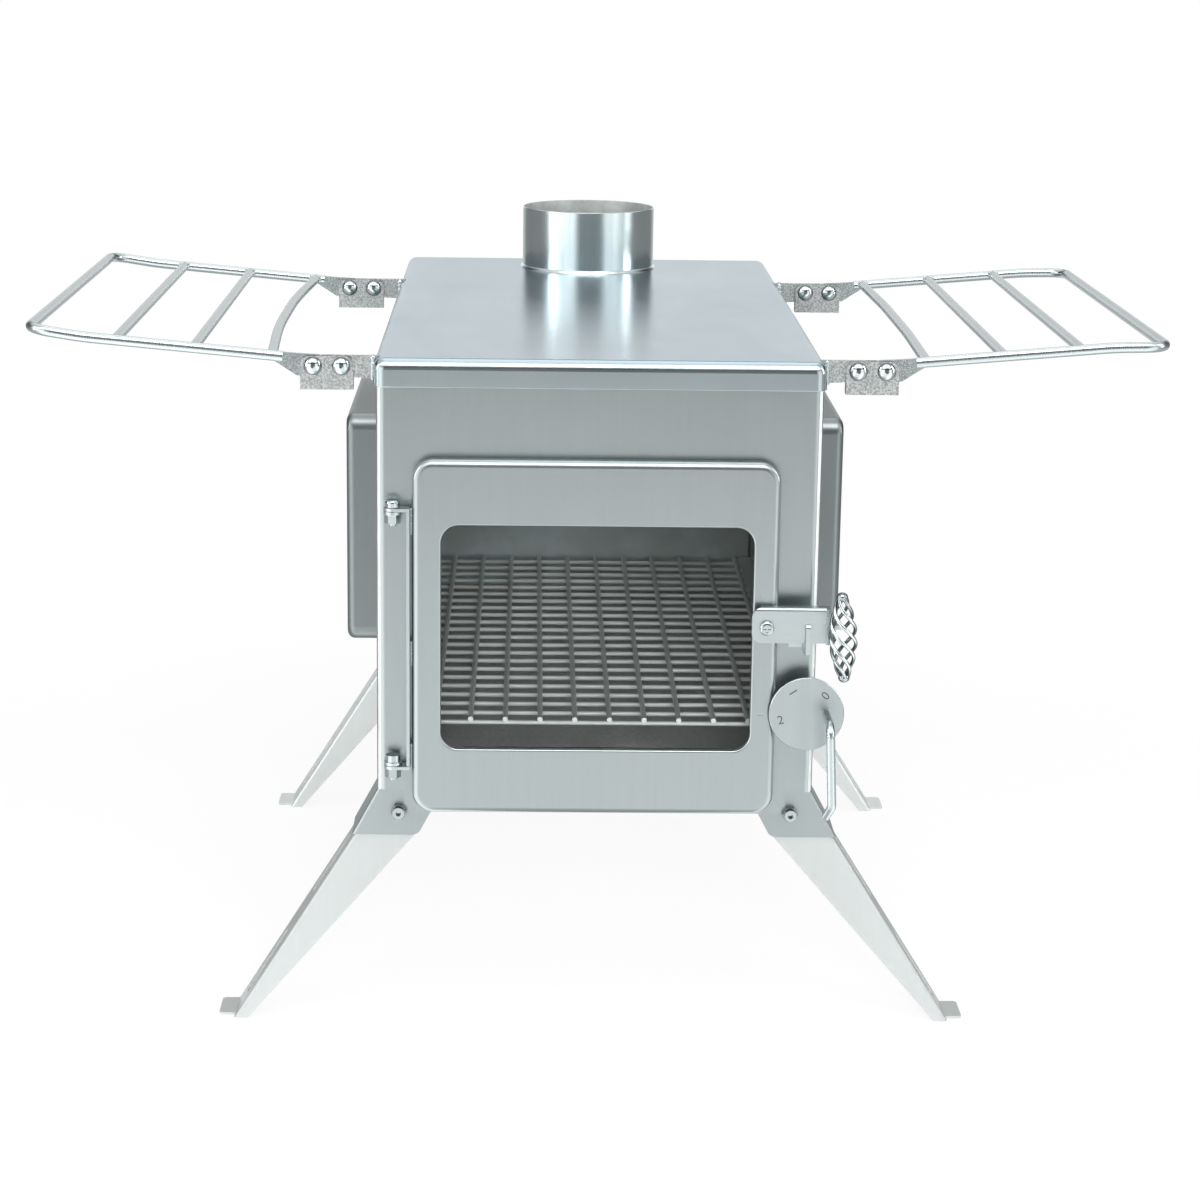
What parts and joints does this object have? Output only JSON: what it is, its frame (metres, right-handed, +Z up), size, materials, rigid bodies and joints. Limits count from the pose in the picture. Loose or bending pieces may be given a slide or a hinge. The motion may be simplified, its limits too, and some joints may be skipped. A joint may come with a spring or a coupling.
{
  "type": "tent wood stove",
  "caption": "Portable folding-leg wood stove with hinged glass door, coil-handled latch, turning air dial, rear flue collar and two folding side racks",
  "frame": {"origin": "on the floor, under the middle of the whole stove's outline with the racks out and the legs down", "axes": "+Z up; the door and window look along -Y and the flue collar stands at the +Y end; +X is to the right seen from the front"},
  "size_m": [0.646, 0.5242, 0.433],
  "materials": {
    "top_sheet": "fine satin stainless with a soft sheen",
    "body_sheet": "vertically brushed stainless",
    "firebox_floor": "stainless under pale ash and soot",
    "collar_tube": "upright brushed tube, soot dark inside",
    "cover_sheet": "brushed stainless",
    "grate_wire": "heat-dulled stainless wire",
    "hinge_metal": "satin stainless",
    "bright_fastener": "polished stainless",
    "dark_nut": "dark reflecting stainless",
    "cast_look_metal": "coarse bead-blasted stainless with a fine grain",
    "rack_wire": "bright satin drawn rod",
    "door_sheet": "brushed stainless with bright pressed edges",
    "ceramic_glass": "lightly tinted heat-proof glass",
    "rope_seal": "woven glass-fibre rope",
    "latch_metal": "satin stainless plate",
    "chrome_wire": "bright twisted wire",
    "dial_sheet": "brushed stainless disc with printed plain numbers",
    "leg_sheet": "pale matte stainless",
    "bracket_sheet": "matte stainless"
  },
  "bodies": {
    "stove": {"top_plate": "top_sheet", "flue_collar": "collar_tube", "firebox_shell": "body_sheet", "back_wall": "body_sheet", "bottom_plate": "firebox_floor", "side_cover_left": "cover_sheet", "side_cover_right": "cover_sheet", "grate_ledges": "grate_wire", "grate_long_wires": "grate_wire", "grate_cross_wires": "grate_wire", "hinge_lugs": "hinge_metal", "hinge_bolts": "bright_fastener", "hinge_nuts": "bright_fastener", "keeper_hook": "cast_look_metal", "leg_bracket_front_left": "bracket_sheet", "leg_bracket_front_right": "bracket_sheet", "leg_bracket_rear_left": "bracket_sheet", "leg_bracket_rear_right": "bracket_sheet", "leg_bolts": "bright_fastener", "leg_nuts": "dark_nut", "rack_ears": "cast_look_metal", "rack_inner_rivets": "bright_fastener", "dial_bush": "bright_fastener"},
    "door": {"door_pan": "door_sheet", "door_glass": "ceramic_glass", "glass_seal": "rope_seal", "door_gasket": "rope_seal", "glass_retainers": "body_sheet", "glass_retainer_studs": "bright_fastener", "glass_retainer_nuts": "bright_fastener", "hinge_plate": "hinge_metal", "latch_standoff": "hinge_metal", "latch_screw": "bright_fastener"},
    "latch": {"latch_bar": "latch_metal", "coil_handle": "chrome_wire", "handle_screw": "bright_fastener"},
    "air_dial": {"air_dial": "dial_sheet", "dial_spindle": "bright_fastener", "air_shutter": "body_sheet", "dial_clip": "bright_fastener", "dial_handle": "rack_wire"},
    "leg_front_left": {"leg_front_left": "leg_sheet"},
    "leg_front_right": {"leg_front_right": "leg_sheet"},
    "leg_rear_left": {"leg_rear_left": "leg_sheet"},
    "leg_rear_right": {"leg_rear_right": "leg_sheet"},
    "link_left": {"rack_links_left": "cast_look_metal", "rack_outer_rivets_left": "bright_fastener"},
    "rack_left": {"rack_frame_left": "rack_wire", "rack_bars_left": "rack_wire"},
    "link_right": {"rack_links_right": "cast_look_metal", "rack_outer_rivets_right": "bright_fastener"},
    "rack_right": {"rack_frame_right": "rack_wire", "rack_bars_right": "rack_wire"}
  },
  "joints": [
    {"name": "door_swing", "type": "hinge", "parent": "stove", "child": "door", "pos_m": [-0.1159, -0.223, 0.2337], "axis": [0, 0, -1], "range_deg": [0, 135]},
    {"name": "latch_lift", "type": "hinge", "parent": "door", "child": "latch", "pos_m": [0.0951, -0.2345, 0.2437], "axis": [0, -1, 0], "range_deg": [0, 38]},
    {"name": "dial_turn", "type": "hinge", "parent": "stove", "child": "air_dial", "pos_m": [0.1194, -0.231, 0.1925], "axis": [0, -1, 0], "range_deg": [0, 132]},
    {"name": "leg_front_left_fold", "type": "hinge", "parent": "stove", "child": "leg_front_left", "pos_m": [-0.113, -0.21315, 0.1285], "axis": [0, -1, 0], "range_deg": [0, 128]},
    {"name": "leg_front_right_fold", "type": "hinge", "parent": "stove", "child": "leg_front_right", "pos_m": [0.113, -0.21315, 0.1285], "axis": [0, 1, 0], "range_deg": [0, 108]},
    {"name": "leg_rear_left_fold", "type": "hinge", "parent": "stove", "child": "leg_rear_left", "pos_m": [-0.113, 0.19685, 0.1285], "axis": [0, -1, 0], "range_deg": [0, 128]},
    {"name": "leg_rear_right_fold", "type": "hinge", "parent": "stove", "child": "leg_rear_right", "pos_m": [0.113, 0.19685, 0.1285], "axis": [0, 1, 0], "range_deg": [0, 108]},
    {"name": "link_left_lift", "type": "hinge", "parent": "stove", "child": "link_left", "pos_m": [-0.1452, -0.0335, 0.3853], "axis": [0, 1, 0], "range_deg": [0, 90]},
    {"name": "rack_left_fold", "type": "hinge", "parent": "link_left", "child": "rack_left", "pos_m": [-0.1611, -0.0335, 0.3853], "axis": [0, 1, 0], "range_deg": [0, 85]},
    {"name": "link_right_lift", "type": "hinge", "parent": "stove", "child": "link_right", "pos_m": [0.1452, -0.0335, 0.3853], "axis": [0, -1, 0], "range_deg": [0, 90]},
    {"name": "rack_right_fold", "type": "hinge", "parent": "link_right", "child": "rack_right", "pos_m": [0.1611, -0.0335, 0.3853], "axis": [0, -1, 0], "range_deg": [0, 80]}
  ]
}
